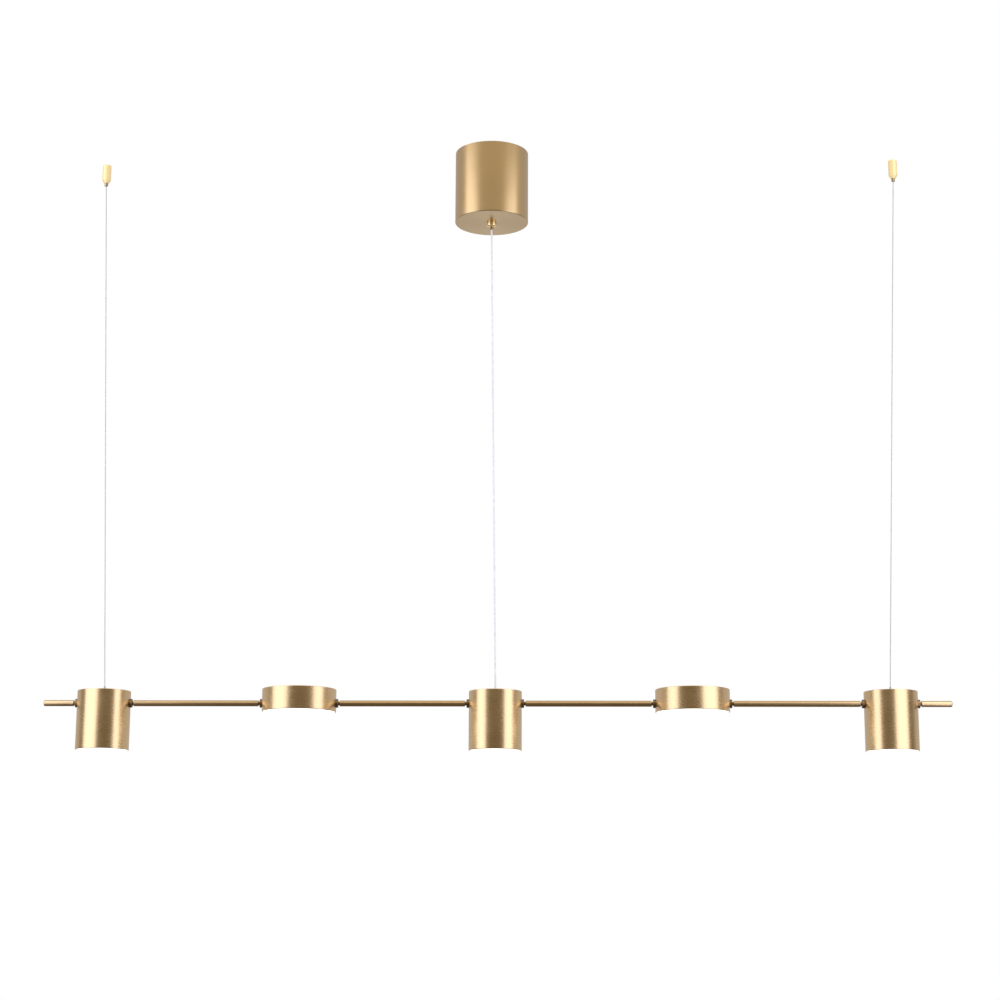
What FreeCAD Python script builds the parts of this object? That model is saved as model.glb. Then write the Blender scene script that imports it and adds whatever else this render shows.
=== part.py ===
import FreeCAD, Part
import math
import os
from types import SimpleNamespace

import Sketcher

# Linear island pendant: a brass bar of five lamp heads, hung from the ceiling by two steel wires and a
# power cable. Millimetres, +Z up, +X along the bar. The origin is the middle of the canopy's ceiling face.

SIZES = {
    # canopy and what it covers
    "canopy_diameter": 100,
    "canopy_height": 100,
    "canopy_wall": 1.5,
    "canopy_edge_round": 1,
    "bracket_width": 16,
    "bracket_thickness": 2,
    "bracket_ear_height": 14,
    "bracket_slot_spacing": 60,
    "bracket_slot_length": 12,
    "bracket_slot_width": 5,
    "side_screw_diameter": 4,
    "side_screw_length": 6,
    "side_screw_drop": 9,
    "side_screw_socket": 2,
    "driver_plate_width": 56,
    "driver_plate_height": 60,
    "driver_width": 50,
    "driver_depth": 26,
    "driver_height": 56,
    "driver_edge_round": 1.5,
    "terminal_width": 36,
    "terminal_depth": 12,
    "terminal_height": 18,
    "terminal_hole": 3.4,
    "terminal_pitch": 11,
    # grippers on the ceiling
    "anchor_spread": 1100,
    "gripper_diameter": 12,
    "gripper_height": 22,
    "gripper_top_chamfer": 0.6,
    "gripper_cone_height": 4,
    "gripper_nose_diameter": 6.4,
    "gripper_base_diameter": 9,
    "gripper_base_height": 8,
    "base_screw_hole": 4.2,
    "base_screw_head": 8,
    "gripper_web": 1.5,
    "chamber_diameter": 6.8,
    "chamber_height": 9.5,
    # release plungers and their springs
    "plunger_diameter": 5,
    "plunger_reach": 4,
    "plunger_flange": 6.4,
    "plunger_flange_height": 2,
    "spring_wire": 0.5,
    "spring_turns": 5,
    # cable gripper in the canopy
    "cable_gripper_diameter": 13,
    "cable_gripper_height": 5.4,
    "cable_gripper_shoulder": 1.6,
    "cable_gripper_nose": 8,
    "cable_gripper_thread": 10,
    "cable_gripper_stem": 16,
    "cable_gripper_nut": 16,
    "cable_gripper_nut_height": 4,
    # wires and cable
    "wire_drop": 657,
    "wire_diameter": 1.2,
    "cable_diameter": 2.5,
    "wire_slack_gap": 0.3,
    # bar
    "bar_offset": 7,
    "bar_set_back": 33,
    "end_rod_length": 40,
    "head_pitch": 260,
    "rod_diameter": 8,
    "rod_bore": 5.1,
    "rod_end_wall": 3,
    "rod_end_round": 1.4,
    "neck_length": 2,
    "nipple_diameter": 5,
    "nipple_bore": 3.2,
    "nipple_in_rod": 10,
    "collar_diameter": 11.5,
    "collar_length": 3,
    "collar_chamfer": 0.4,
    "locknut_diameter": 9,
    "locknut_length": 3,
    "washer_thickness": 0.6,
    "lead_diameter": 2,
    "lead_bend": 6,
    "lead_spacing": 2.2,
    "lead_end_inside_head": 12,
    # cylinder heads
    "cylinder_diameter": 70,
    "cylinder_height": 78,
    "cylinder_wall": 1.5,
    "cylinder_top": 3,
    "cylinder_above_axis": 16,
    "cylinder_edge_round": 0.6,
    "heat_sink_drop": 30,
    "fin_height": 8,
    "fin_thickness": 1.2,
    "fin_length": 22,
    "fin_count": 16,
    "heat_sink_plate": 4,
    "heat_sink_hole": 5,
    "board_thickness": 1.6,
    "cylinder_board_diameter": 54,
    "cylinder_chip_circle": 26,
    "cylinder_chip_count": 9,
    "reflector_mouth": 50,
    "reflector_wall": 1,
    "chip_size": 3,
    "chip_height": 0.7,
    "diffuser_thickness": 3,
    # disc heads
    "disc_diameter": 98,
    "disc_height": 30,
    "disc_wall": 1.5,
    "disc_top": 2.5,
    "disc_above_axis": 18.5,
    "disc_edge_round": 0.8,
    "disc_diffuser_thickness": 2,
    "light_guide_thickness": 3,
    "led_ring_thickness": 1,
    "ring_chip_count": 24,
    "back_plate_thickness": 1,
    # what hangs the bar
    "anchor_cone_diameter": 3.4,
    "anchor_cone_tip": 1.9,
    "anchor_cone_height": 6.6,
    "anchor_stem": 3,
    "anchor_head_diameter": 7,
    "anchor_head_height": 2,
    "grommet_diameter": 5,
    "grommet_height": 2,
    "grommet_groove": 4,
    # clearances
    "bracket_gap": 0.7,
    "seat_gap": 0.1,
    "running_gap": 0.05,
    "fit_gap": 0.2,
}

ALONG_X = FreeCAD.Rotation(FreeCAD.Vector(0, 1, 0), 90)
AGAINST_X = FreeCAD.Rotation(FreeCAD.Vector(0, 1, 0), -90)
NEAR = 1e-4


class Length:
    """A number together with the spreadsheet expression that gives it."""

    def __init__(self, value, text):
        self.value = value
        self.text = text

    def __add__(self, other):
        other = as_length(other)
        return Length(self.value + other.value, f"({self.text} + {other.text})")

    def __sub__(self, other):
        other = as_length(other)
        return Length(self.value - other.value, f"({self.text} - {other.text})")

    def __mul__(self, other):
        other = as_length(other)
        return Length(self.value * other.value, f"({self.text} * {other.text})")

    def __truediv__(self, other):
        other = as_length(other)
        return Length(self.value / other.value, f"({self.text} / {other.text})")

    def __rsub__(self, other):
        return as_length(other) - self

    def __neg__(self):
        return as_length(0) - self

    __radd__ = __add__
    __rmul__ = __mul__


def as_length(number):
    return number if isinstance(number, Length) else Length(number, repr(number))


def chord_distance(radius, half_width):
    """How far from a circle's centre a chord of that half width lies."""
    value = math.sqrt(radius.value**2 - half_width.value**2)
    return Length(value, f"sqrt(({radius.text})^2 - ({half_width.text})^2)")


doc = FreeCAD.newDocument("pendant")
sheet = doc.addObject("Spreadsheet::Sheet", "Sizes")
for row, (alias, number) in enumerate(SIZES.items(), start=1):
    sheet.set(f"A{row}", alias)
    sheet.set(f"B{row}", str(number))
    sheet.setAlias(f"B{row}", alias)
doc.recompute()
size = SimpleNamespace(**{alias: Length(float(sheet.get(alias)), f"Sizes.{alias}") for alias in SIZES})
pieces = {}


# ---- ways of making a piece ----


def bind(item, name, length):
    """Sets a property and ties it to the spreadsheet."""
    item.setExpression(name, as_length(length).text)


def put(item, place, turn=FreeCAD.Rotation()):
    """Puts an object at a place whose coordinates are sizes."""
    place = [as_length(number) for number in place]
    item.Placement = FreeCAD.Placement(FreeCAD.Vector(*[number.value for number in place]), turn)
    for axis, number in zip("xyz", place):
        bind(item, f"Placement.Base.{axis}", number)


def origin_item(body, role):
    return next(item for item in body.Origin.OriginFeatures if item.Role == role)


def closed_sketch(body, name, role, corners):
    """A sketch of straight lines through corners, each corner bound to its sizes."""
    sketch = body.newObject("Sketcher::SketchObject", name)
    sketch.AttachmentSupport = [(origin_item(body, role), "")]
    sketch.MapMode = "FlatFace"
    corners = [(as_length(across), as_length(up)) for across, up in corners]
    points = [FreeCAD.Vector(across.value, up.value, 0) for across, up in corners]
    for start, end in zip(points, points[1:] + points[:1]):
        sketch.addGeometry(Part.LineSegment(start, end), False)
    for index, (across, up) in enumerate(corners):
        following = (index + 1) % len(corners)
        sketch.addConstraint(Sketcher.Constraint("Coincident", index, 2, following, 1))
        for kind, length, axis in (("DistanceX", across, -2), ("DistanceY", up, -1)):
            if length.text == "0":
                sketch.addConstraint(Sketcher.Constraint("PointOnObject", index, 1, axis))
                continue
            rule = Sketcher.Constraint(kind, -1, 1, index, 1, length.value)
            number = sketch.addConstraint(rule)
            sketch.setExpression(f"Constraints[{number}]", length.text)
    return sketch


def new_body(label, place=(0, 0, 0), turn=FreeCAD.Rotation()):
    body = doc.addObject("PartDesign::Body", label)
    body.Label = label
    put(body, place, turn)
    return body


def turned(label, profile, place=(0, 0, 0), turn=FreeCAD.Rotation()):
    """A body turned about its own Z axis from a profile of (radius, height) corners."""
    body = new_body(label, place, turn)
    sketch = closed_sketch(body, f"{label}_profile", "XZ_Plane", profile)
    revolution = body.newObject("PartDesign::Revolution", f"{label}_turning")
    revolution.Profile = sketch
    revolution.ReferenceAxis = (sketch, ["V_Axis"])
    revolution.Angle = 360
    body.Tip = revolution
    return body


def tube(inner, outer, low, high):
    """The profile of a ring between two heights."""
    return [(inner, low), (outer, low), (outer, high), (inner, high)]


def block(body, name, lengths, place, kind="Additive"):
    """Adds or cuts a box whose lowest corner is at place."""
    box = body.newObject(f"PartDesign::{kind}Box", name)
    for side, length in zip(("Length", "Width", "Height"), lengths):
        bind(box, side, length)
    put(box, place)
    body.Tip = box
    return box


def drill(body, name, diameter, depth, place, turn=FreeCAD.Rotation()):
    """Cuts a round hole that starts at place and runs along the turned Z axis."""
    hole = body.newObject("PartDesign::SubtractiveCylinder", name)
    bind(hole, "Radius", as_length(diameter) / 2)
    bind(hole, "Height", depth)
    put(hole, place, turn)
    body.Tip = hole
    return hole


def repeat_round(body, name, feature, count):
    """Repeats a feature round the body's Z axis."""
    pattern = body.newObject("PartDesign::PolarPattern", name)
    pattern.Originals = [feature]
    pattern.Axis = (origin_item(body, "Z_Axis"), [""])
    pattern.Angle = 360
    bind(pattern, "Occurrences", count)
    body.Tip = pattern
    return pattern


def round_rims(body, radius, rims):
    """Rounds the circular edges that have the given radius and height."""
    doc.recompute()
    base = body.Tip
    names = []
    for index, edge in enumerate(base.Shape.Edges, start=1):
        curve = edge.Curve
        for rim_radius, height in rims:
            rim_radius, height = as_length(rim_radius).value, as_length(height).value
            if (
                isinstance(curve, Part.Circle)
                and abs(curve.Radius - rim_radius) < NEAR
                and abs(curve.Center.z - height) < NEAR
                and abs(abs(curve.Axis.z) - 1) < NEAR
            ):
                names.append(f"Edge{index}")
    fillet = body.newObject("PartDesign::Fillet", f"{body.Name}_rounding")
    fillet.Base = (base, names)
    bind(fillet, "Radius", radius)
    body.Tip = fillet
    return fillet


def keep(piece):
    """Keeps a finished sub-part under its label, which names its file."""
    pieces[piece.Label] = piece
    return piece


def keep_group(label, members):
    """Keeps like pieces together as one sub-part of separate solids."""
    group = doc.addObject("Part::Compound", label)
    group.Label = label
    group.Links = members
    return keep(group)


# ---- places that several pieces share ----

CEILING = 0
canopy_floor = -size.canopy_height
rod_axis = canopy_floor - size.wire_drop
bar_y = size.bar_set_back
gripper_x = {side: size.bar_offset + sign * size.anchor_spread / 2 for side, sign in (("left", -1), ("right", 1))}
head_x = {
    "left_cylinder": size.bar_offset - 2 * size.head_pitch,
    "left_disc": size.bar_offset - size.head_pitch,
    "centre_cylinder": size.bar_offset,
    "right_disc": size.bar_offset + size.head_pitch,
    "right_cylinder": size.bar_offset + 2 * size.head_pitch,
}
head_radius = {
    name: (size.disc_diameter if name.endswith("disc") else size.cylinder_diameter) / 2 for name in head_x
}
head_wall = {name: size.disc_wall if name.endswith("disc") else size.cylinder_wall for name in head_x}
gripper_exit = -(size.gripper_height + size.gripper_cone_height + size.plunger_reach)
cable_exit = canopy_floor - size.cable_gripper_height - size.plunger_reach
plunger_bore = size.plunger_diameter / 2 + size.running_gap
flange_radius = size.plunger_flange / 2
spring_radius = flange_radius - size.spring_wire


# ---- canopy ----


def make_canopy():
    outer = size.canopy_diameter / 2
    inner = outer - size.canopy_wall
    floor = canopy_floor + size.canopy_wall
    hole = size.cable_gripper_thread / 2 + size.seat_gap
    profile = [
        (hole, canopy_floor),
        (outer, canopy_floor),
        (outer, CEILING),
        (inner, CEILING),
        (inner, floor),
        (hole, floor),
    ]
    shell = turned("canopy_shell", profile)
    round_rims(shell, size.canopy_edge_round, [(outer, canopy_floor)])
    screw_hole = size.side_screw_diameter + 2 * size.seat_gap
    drill(
        shell,
        "side_screw_holes",
        screw_hole,
        size.canopy_diameter,
        (-outer, 0, -size.side_screw_drop),
        ALONG_X,
    )
    keep(shell)


def make_bracket():
    bracket = new_body("ceiling_bracket")
    length = size.canopy_diameter - 2 * (size.canopy_wall + size.bracket_gap)
    half_length = length / 2
    half_width = size.bracket_width / 2
    thick = size.bracket_thickness
    block(
        bracket,
        "bracket_strap",
        (length, size.bracket_width, thick),
        (-half_length, -half_width, -thick),
    )
    for side, start in (("left", -half_length), ("right", half_length - thick)):
        block(
            bracket,
            f"{side}_ear",
            (thick, size.bracket_width, size.bracket_ear_height),
            (start, -half_width, -size.bracket_ear_height),
        )
    block(
        bracket,
        "driver_plate",
        (size.driver_plate_width, thick, size.driver_plate_height),
        (-size.driver_plate_width / 2, half_width, -size.driver_plate_height),
    )
    slot_half = size.bracket_slot_width / 2
    straight = size.bracket_slot_length - size.bracket_slot_width
    for side, sign in (("left", -1), ("right", 1)):
        middle = sign * size.bracket_slot_spacing / 2
        block(
            bracket,
            f"{side}_slot",
            (straight, size.bracket_slot_width, thick),
            (middle - straight / 2, -slot_half, -thick),
            "Subtractive",
        )
        for end, way in (("inner", -1), ("outer", 1)):
            drill(
                bracket,
                f"{side}_slot_{end}_end",
                size.bracket_slot_width,
                thick,
                (middle + way * straight / 2, 0, -thick),
            )
    tapped = size.side_screw_diameter + 2 * size.running_gap
    drill(
        bracket,
        "tapped_holes",
        tapped,
        length,
        (-half_length, 0, -size.side_screw_drop),
        ALONG_X,
    )
    keep(bracket)


def make_side_screws():
    screws = []
    radius = size.side_screw_diameter / 2
    end = size.canopy_diameter / 2 - size.seat_gap
    socket = size.side_screw_socket / 2
    depth = size.side_screw_socket
    for side, sign, turn in (("left", -1, AGAINST_X), ("right", 1, ALONG_X)):
        profile = [
            (0, -size.side_screw_length),
            (radius, -size.side_screw_length),
            (radius, 0),
            (socket, 0),
            (socket, -depth),
            (0, -depth),
        ]
        place = (sign * end, 0, -size.side_screw_drop)
        screws.append(turned(f"{side}_side_screw", profile, place, turn))
    keep_group("canopy_side_screws", screws)


def make_driver():
    front = size.bracket_width / 2
    top = -size.bracket_thickness - size.fit_gap
    driver = new_body("led_driver")
    block(
        driver,
        "driver_case",
        (size.driver_width, size.driver_depth, size.driver_height),
        (-size.driver_width / 2, front - size.driver_depth, top - size.driver_height),
    )
    doc.recompute()
    case = driver.Tip
    upright = [
        f"Edge{index}"
        for index, edge in enumerate(case.Shape.Edges, start=1)
        if abs(edge.tangentAt(edge.FirstParameter).z) > 1 - NEAR
    ]
    fillet = driver.newObject("PartDesign::Fillet", "driver_case_rounding")
    fillet.Base = (case, upright)
    bind(fillet, "Radius", size.driver_edge_round)
    driver.Tip = fillet
    keep(driver)
    back = front + size.bracket_thickness
    terminal = new_body("mains_terminal_block")
    terminal_top = -2 * size.bracket_thickness
    block(
        terminal,
        "terminal_case",
        (size.terminal_width, size.terminal_depth, size.terminal_height),
        (-size.terminal_width / 2, back, terminal_top - size.terminal_height),
    )
    for number in (-1, 0, 1):
        drill(
            terminal,
            f"terminal_entry_{number + 2}",
            size.terminal_hole,
            size.terminal_height,
            (number * size.terminal_pitch, back + size.terminal_depth / 2, terminal_top - size.terminal_height),
        )
    keep(terminal)


# ---- grippers: a threaded body that holds a sprung plunger; pushing the plunger in frees the wire ----


def make_plunger(label, place, nose_length, bore):
    """A plunger whose flange rests on the chamber's floor, at its own z = 0."""
    profile = [
        (bore, -nose_length),
        (size.plunger_diameter / 2, -nose_length),
        (size.plunger_diameter / 2, 0),
        (flange_radius, 0),
        (flange_radius, size.plunger_flange_height),
        (bore, size.plunger_flange_height),
    ]
    keep(turned(label, profile, place))


def make_spring(label, place, room):
    """A helical spring between the plunger's flange and the chamber's roof, a pipe along quarter turns."""
    clear = size.spring_wire / 2 + size.seat_gap
    radius = spring_radius.value
    pitch = ((room - 2 * clear) / size.spring_turns).value

    def point(turns):
        angle = 2 * math.pi * turns
        return FreeCAD.Vector(radius * math.cos(angle), radius * math.sin(angle), pitch * turns)

    quarters = [
        Part.Arc(point(step / 4), point((step + 0.5) / 4), point((step + 1) / 4)).toShape()
        for step in range(4 * round(size.spring_turns.value))
    ]
    section = Part.Circle(point(0), FreeCAD.Vector(0, 1, 0), size.spring_wire.value / 2).toShape()
    spring = doc.addObject("Part::Feature", label)
    spring.Label = label
    spring.Shape = Part.Wire(quarters).makePipeShell([Part.Wire(section)], True)
    x, y, z = place
    put(spring, (x, y, z + clear))
    keep(spring)


def make_ceiling_grippers():
    outer = size.gripper_diameter / 2
    nose = size.gripper_nose_diameter / 2
    socket = size.gripper_base_diameter / 2 + size.running_gap
    socket_floor = -(size.gripper_base_height + size.seat_gap)
    chamber = size.chamber_diameter / 2
    chamber_roof = socket_floor - size.gripper_web
    chamber_floor = chamber_roof - size.chamber_height
    shoulder = -size.gripper_height
    nose_end = shoulder - size.gripper_cone_height
    wire_hole = size.wire_diameter / 2 + size.fit_gap
    chamfer = size.gripper_top_chamfer
    profile = [
        (plunger_bore, nose_end),
        (nose, nose_end),
        (outer, shoulder),
        (outer, CEILING - chamfer),
        (outer - chamfer, CEILING),
        (socket, CEILING),
        (socket, socket_floor),
        (wire_hole, socket_floor),
        (wire_hole, chamber_roof),
        (chamber, chamber_roof),
        (chamber, chamber_floor),
        (plunger_bore, chamber_floor),
    ]
    screw = size.base_screw_hole / 2
    head = size.base_screw_head / 2
    base_end = -size.gripper_base_height
    base_profile = [
        (screw, CEILING),
        (screw, base_end + head - screw),
        (head, base_end),
        (size.gripper_base_diameter / 2, base_end),
        (size.gripper_base_diameter / 2, CEILING),
    ]
    wire_radius = size.wire_diameter / 2
    wire_profile = [
        (0, gripper_exit),
        (wire_radius, gripper_exit),
        (wire_radius, socket_floor + size.seat_gap / 2),
        (0, socket_floor + size.seat_gap / 2),
    ]
    bases, wire_ends = [], []
    for side, x in gripper_x.items():
        keep(turned(f"{side}_gripper_body", profile, (x, bar_y, CEILING)))
        bases.append(turned(f"{side}_gripper_base", base_profile, (x, bar_y, CEILING)))
        wire_ends.append(turned(f"{side}_wire_end", wire_profile, (x, bar_y, CEILING)))
        make_plunger(
            f"{side}_gripper_plunger",
            (x, bar_y, chamber_floor),
            chamber_floor - gripper_exit,
            wire_hole,
        )
        make_spring(
            f"{side}_gripper_spring",
            (x, bar_y, chamber_floor + size.plunger_flange_height),
            size.chamber_height - size.plunger_flange_height,
        )
    keep_group("gripper_bases", bases)
    keep_group("wire_ends_in_grippers", wire_ends)


def make_cable_gripper():
    outer = size.cable_gripper_diameter / 2
    nose = size.cable_gripper_nose / 2
    thread = size.cable_gripper_thread / 2
    cable_hole = size.cable_diameter / 2 + size.fit_gap
    chamber = size.chamber_diameter / 2
    bottom = canopy_floor - size.cable_gripper_height
    shoulder = canopy_floor - size.cable_gripper_shoulder
    dome = (outer + nose) / 2 + size.cable_gripper_shoulder / 2
    dome_height = (bottom + shoulder) / 2 - size.cable_gripper_shoulder / 2
    top = canopy_floor + size.cable_gripper_stem
    chamber_roof = top - size.gripper_web
    chamber_floor = chamber_roof - size.chamber_height
    profile = [
        (plunger_bore, bottom),
        (nose, bottom),
        (dome, dome_height),
        (outer, shoulder),
        (outer, canopy_floor),
        (thread, canopy_floor),
        (thread, top),
        (cable_hole, top),
        (cable_hole, chamber_roof),
        (chamber, chamber_roof),
        (chamber, chamber_floor),
        (plunger_bore, chamber_floor),
    ]
    keep(turned("canopy_gripper_body", profile))
    nut_seat = canopy_floor + size.canopy_wall
    nut_profile = tube(
        thread + size.running_gap,
        size.cable_gripper_nut / 2,
        nut_seat,
        nut_seat + size.cable_gripper_nut_height,
    )
    keep(turned("canopy_gripper_nut", nut_profile))
    make_plunger("canopy_gripper_plunger", (0, 0, chamber_floor), chamber_floor - cable_exit, cable_hole)
    make_spring(
        "canopy_gripper_spring",
        (0, 0, chamber_floor + size.plunger_flange_height),
        size.chamber_height - size.plunger_flange_height,
    )
    driver_bottom = -size.bracket_thickness - size.fit_gap - size.driver_height
    cable_profile = [
        (0, cable_exit),
        (size.cable_diameter / 2, cable_exit),
        (size.cable_diameter / 2, driver_bottom),
        (0, driver_bottom),
    ]
    keep(turned("cable_inside_canopy", cable_profile))


# ---- wires and power cable, pulled straight by the bar's weight ----


def make_taut_run(label, diameter, top, bottom):
    """A straight round run from its lower end up to its upper end."""
    run = doc.addObject("Part::Cylinder", label)
    run.Label = label
    across, back, up = [as_length(high) - low for high, low in zip(top, bottom)]
    lean = f"sqrt(({across.text})^2 + ({back.text})^2)"
    bind(run, "Radius", diameter / 2)
    run.setExpression("Height", f"sqrt(({across.text})^2 + ({back.text})^2 + ({up.text})^2)")
    put(run, bottom, FreeCAD.Rotation(FreeCAD.Vector(-back.value, across.value, 0), 1))
    run.setExpression("Placement.Rotation.Axis.x", (-back).text)
    run.setExpression("Placement.Rotation.Axis.y", across.text)
    run.setExpression("Placement.Rotation.Angle", f"atan({lean} / ({up.text}))")
    print(label, "runs", round(math.hypot(across.value, back.value, up.value), 1), "mm straight")
    keep(run)


def make_wires():
    head_top = rod_axis + size.cylinder_above_axis
    cone_tip = head_top + size.anchor_cone_height
    for side, x in gripper_x.items():
        top = (x, bar_y, gripper_exit - size.wire_slack_gap)
        bottom = (head_x[f"{side}_cylinder"], bar_y, cone_tip + size.wire_slack_gap)
        make_taut_run(f"{side}_wire", size.wire_diameter, top, bottom)
    top = (0, 0, cable_exit - size.wire_slack_gap)
    grommet_top = head_top + size.grommet_height
    bottom = (head_x["centre_cylinder"], bar_y, grommet_top + size.wire_slack_gap)
    make_taut_run("power_cable", size.cable_diameter, top, bottom)


# ---- bar: rods, hollow nipples, locknuts, collars and the leads inside them ----


def rod_face(name, sign):
    """Where the rod beside a head ends, on its left (-1) or right (+1)."""
    return head_x[name] + sign * (head_radius[name] + size.collar_length + size.neck_length)


def make_rods():
    outer = size.rod_diameter / 2
    bore = size.rod_bore / 2
    links = {
        "left_outer_rod": ("left_cylinder", "left_disc"),
        "left_inner_rod": ("left_disc", "centre_cylinder"),
        "right_inner_rod": ("centre_cylinder", "right_disc"),
        "right_outer_rod": ("right_disc", "right_cylinder"),
    }
    for label, (first, second) in links.items():
        start = rod_face(first, 1)
        length = rod_face(second, -1) - start
        keep(turned(label, tube(bore, outer, 0, length), (start, bar_y, rod_axis), ALONG_X))
    for side, sign, turn in (("left", -1, AGAINST_X), ("right", 1, ALONG_X)):
        start = rod_face(f"{side}_cylinder", sign)
        reach = size.end_rod_length
        profile = [
            (0, reach),
            (outer, reach),
            (outer, 0),
            (bore, 0),
            (bore, reach - size.rod_end_wall),
            (0, reach - size.rod_end_wall),
        ]
        rod = turned(f"{side}_end_rod", profile, (start, bar_y, rod_axis), turn)
        round_rims(rod, size.rod_end_round, [(outer, reach)])
        keep(rod)


def make_joints_at_heads():
    """The nipple, locknut and collar on each side of each head, and the washers of the turning discs."""
    nipple_radius = size.nipple_diameter / 2
    hole = nipple_radius + size.running_gap
    nut_radius = size.locknut_diameter / 2
    nipples, nuts, washers = [], [], []
    collars = {"cylinder": [], "left_disc": [], "right_disc": []}
    for name, x in head_x.items():
        radius = head_radius[name]
        seat = chord_distance(radius - head_wall[name], nut_radius) - size.running_gap
        is_disc = name.endswith("disc")
        nut_end = seat - size.washer_thickness if is_disc else seat
        nipple_start = nut_end - size.locknut_length
        nipple_end = radius + size.collar_length + size.neck_length + size.nipple_in_rod
        collar_end = radius + size.collar_length
        chamfer = size.collar_chamfer
        for side, turn in (("left", AGAINST_X), ("right", ALONG_X)):
            place = (x, bar_y, rod_axis)
            label = f"{name}_{side}"
            nipple = tube(size.nipple_bore / 2, nipple_radius, nipple_start, nipple_end)
            nipples.append(turned(f"{label}_nipple", nipple, place, turn))
            nut = tube(hole, nut_radius, nipple_start, nut_end)
            nuts.append(turned(f"{label}_locknut", nut, place, turn))
            if is_disc:
                washer = tube(hole, nut_radius, nut_end, seat)
                washers.append(turned(f"{label}_washer", washer, place, turn))
            outer = size.collar_diameter / 2
            saddle_start = chord_distance(radius, outer) - size.fit_gap
            profile = [
                (hole, saddle_start),
                (outer, saddle_start),
                (outer, collar_end - chamfer),
                (outer - chamfer, collar_end),
                (hole, collar_end),
            ]
            collar = turned(f"{label}_collar", profile, place, turn)
            drill(
                collar,
                f"{label}_saddle",
                2 * radius,
                2 * size.collar_diameter,
                (-size.collar_diameter, 0, 0),
                ALONG_X,
            )
            collars[name if is_disc else "cylinder"].append(collar)
    keep_group("rod_nipples", nipples)
    keep_group("nipple_locknuts", nuts)
    keep_group("friction_washers", washers)
    for name, members in collars.items():
        keep_group(f"{name}_collars", members)


def make_leads():
    """Two leads that come down the centre head's grommet and run out through the rods to the end heads."""
    radius = size.lead_diameter / 2
    bend = size.lead_bend
    start_z = rod_axis + size.cylinder_above_axis - size.cylinder_top
    leads = []
    for side, sign, turn in (("left", -1, AGAINST_X), ("right", 1, ALONG_X)):
        start_x = size.bar_offset + sign * size.lead_spacing / 2
        end_x = head_x[f"{side}_cylinder"] - sign * size.lead_end_inside_head
        drop = doc.addObject("Part::Cylinder", f"{side}_lead_drop")
        bind(drop, "Radius", radius)
        bind(drop, "Height", start_z - rod_axis - bend)
        put(drop, (start_x, bar_y, rod_axis + bend))
        elbow = doc.addObject("Part::Torus", f"{side}_lead_elbow")
        bind(elbow, "Radius1", bend)
        bind(elbow, "Radius2", radius)
        elbow.Angle3 = 90
        quarter = FreeCAD.Rotation(FreeCAD.Vector(1, 0, 0), 90)
        flip = FreeCAD.Rotation(FreeCAD.Vector(0, 1, 0), 180 if sign > 0 else 90)
        put(elbow, (start_x + sign * bend, bar_y, rod_axis + bend), flip * quarter)
        run = doc.addObject("Part::Cylinder", f"{side}_lead_run")
        bind(run, "Radius", radius)
        bind(run, "Height", sign * (end_x - start_x) - bend)
        put(run, (start_x + sign * bend, bar_y, rod_axis), turn)
        lead = doc.addObject("Part::MultiFuse", f"{side}_lead")
        lead.Shapes = [drop, elbow, run]
        leads.append(lead)
    keep_group("bus_leads", leads)


# ---- lamp heads ----


def head_shell(name, radius, wall, top_wall, top, height, edge, top_hole):
    """A cup with its open side down, crossed by the hole for the nipples."""
    bottom = top - height
    profile = [
        (top_hole, top),
        (radius, top),
        (radius, bottom),
        (radius - wall, bottom),
        (radius - wall, top - top_wall),
        (top_hole, top - top_wall),
    ]
    shell = turned(f"{name}_shell", profile, (head_x[name], bar_y, rod_axis))
    round_rims(shell, edge, [(radius, top), (radius, bottom)])
    hole = size.nipple_diameter + 2 * size.running_gap
    drill(shell, f"{name}_nipple_holes", hole, 2 * radius, (-radius, 0, 0), ALONG_X)
    keep(shell)


def add_chips(board, circle_radius, height, count):
    """Puts LED chips in a circle on a board's lower face."""
    chip = block(
        board,
        f"{board.Name}_chip",
        (size.chip_size, size.chip_size, size.chip_height),
        (circle_radius - size.chip_size / 2, -size.chip_size / 2, height - size.chip_height),
    )
    repeat_round(board, f"{board.Name}_chips", chip, count)


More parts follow.
